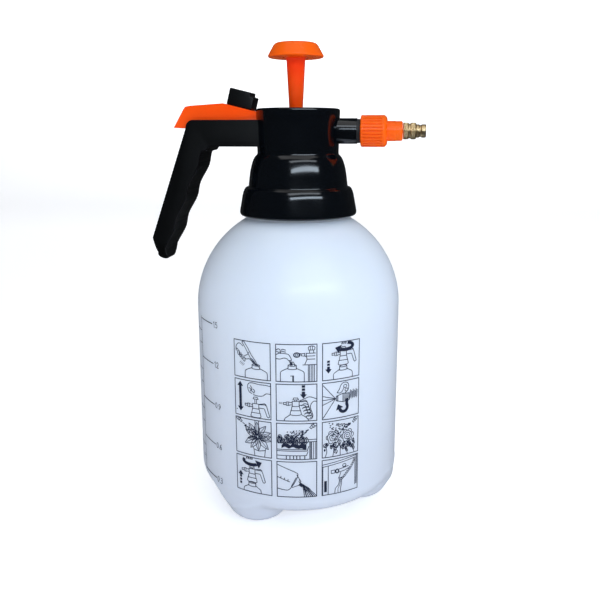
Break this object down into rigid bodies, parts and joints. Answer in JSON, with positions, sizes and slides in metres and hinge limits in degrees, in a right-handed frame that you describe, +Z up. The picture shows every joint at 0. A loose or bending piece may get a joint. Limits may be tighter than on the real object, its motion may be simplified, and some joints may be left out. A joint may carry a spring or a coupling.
{
  "type": "hand pressure sprayer",
  "caption": "Hand-held pump-up pressure sprayer: milky round bottle, black screw head with pistol grip, orange trigger and plunger, brass nozzle.",
  "frame": {"origin": "on the bottle's axis, in the plane that its three feet stand on", "axes": "+Z up along the bottle's axis, +X along the nozzle, the way it sprays; the grip is on the -X side"},
  "size_m": [0.1726, 0.13, 0.2923],
  "materials": {
    "bottle": "milky translucent blow-moulded polyethylene, satin, printed in dark ink",
    "head": "high gloss black injection-moulded plastic",
    "handle": "satin black injection-moulded plastic",
    "orange": "orange injection-moulded plastic, semi-gloss",
    "brass": "turned brass, lightly polished",
    "rubber": "black moulded rubber",
    "steel": "stainless wire and pin",
    "tube": "natural polypropylene, slightly translucent"
  },
  "bodies": {
    "bottle": {"bottle": "bottle"},
    "gasket": {"neck_gasket": "rubber"},
    "head": {"head_shell": "head", "handle": "handle", "valve_body": "head", "valve_gland": "handle", "trigger_pin": "steel", "outlet_washer": "rubber", "nozzle_seal": "rubber", "nozzle_body": "orange", "dip_tube": "tube", "dip_filter": "tube", "pump_cylinder": "tube", "pump_cap": "handle", "rod_wiper": "rubber", "valve_spring": "steel"},
    "trigger": {"trigger_lever": "orange"},
    "lock": {"lock_button": "handle"},
    "valve": {"valve_stem": "brass", "valve_seal": "rubber"},
    "plunger": {"pump_knob": "orange", "pump_rod": "orange", "piston": "handle", "piston_cup": "rubber"},
    "check": {"check_valve": "rubber"},
    "nut": {"nozzle_nut": "orange"},
    "tip": {"brass_nozzle": "brass", "brass_tip": "brass", "swirl_core": "brass"}
  },
  "joints": [
    {"name": "head_lift", "type": "slide", "parent": "bottle", "child": "gasket", "axis": [0, 0, 1], "range_m": [0, 0.00481]},
    {"name": "head_turn", "type": "hinge", "parent": "gasket", "child": "head", "pos_m": [0, 0, 0.2], "axis": [0, 0, 1], "range_deg": [0, 540]},
    {"name": "trigger_press", "type": "hinge", "parent": "head", "child": "trigger", "pos_m": [-0.0208, 0, 0.2474], "axis": [0, -1, 0], "range_deg": [0, 5], "stiffness_Nm_per_rad": 2, "springref_deg": -4.58},
    {"name": "valve_push", "type": "slide", "parent": "head", "child": "valve", "axis": [0, 0, -1], "range_m": [0, 0.00236], "deforming": ["valve_spring"]},
    {"name": "lock_slide", "type": "slide", "parent": "trigger", "child": "lock", "axis": [-0.9707, 0, 0.2402], "range_m": [0, 0.004]},
    {"name": "plunger_slide", "type": "slide", "parent": "head", "child": "plunger", "axis": [0, 0, 1], "range_m": [0, 0.07]},
    {"name": "check_lift", "type": "slide", "parent": "head", "child": "check", "axis": [0, 0, -1], "range_m": [0, 0.0012], "stiffness_N_per_m": 60, "springref_m": -0.0006},
    {"name": "nut_turn", "type": "hinge", "parent": "head", "child": "nut", "pos_m": [0.047, 0, 0.2388], "axis": [1, 0, 0], "range_deg": [0, 180]},
    {"name": "nozzle_turn", "type": "hinge", "parent": "head", "child": "tip", "pos_m": [0.07, 0, 0.2388], "axis": [1, 0, 0], "range_deg": [0, 360]}
  ],
  "couplings": [
    {"joint": "head_lift", "follows": "head_turn", "m_per_rad": 0.0005093},
    {"joint": "valve_push", "follows": "trigger_press", "m_per_rad": 0.026929}
  ]
}
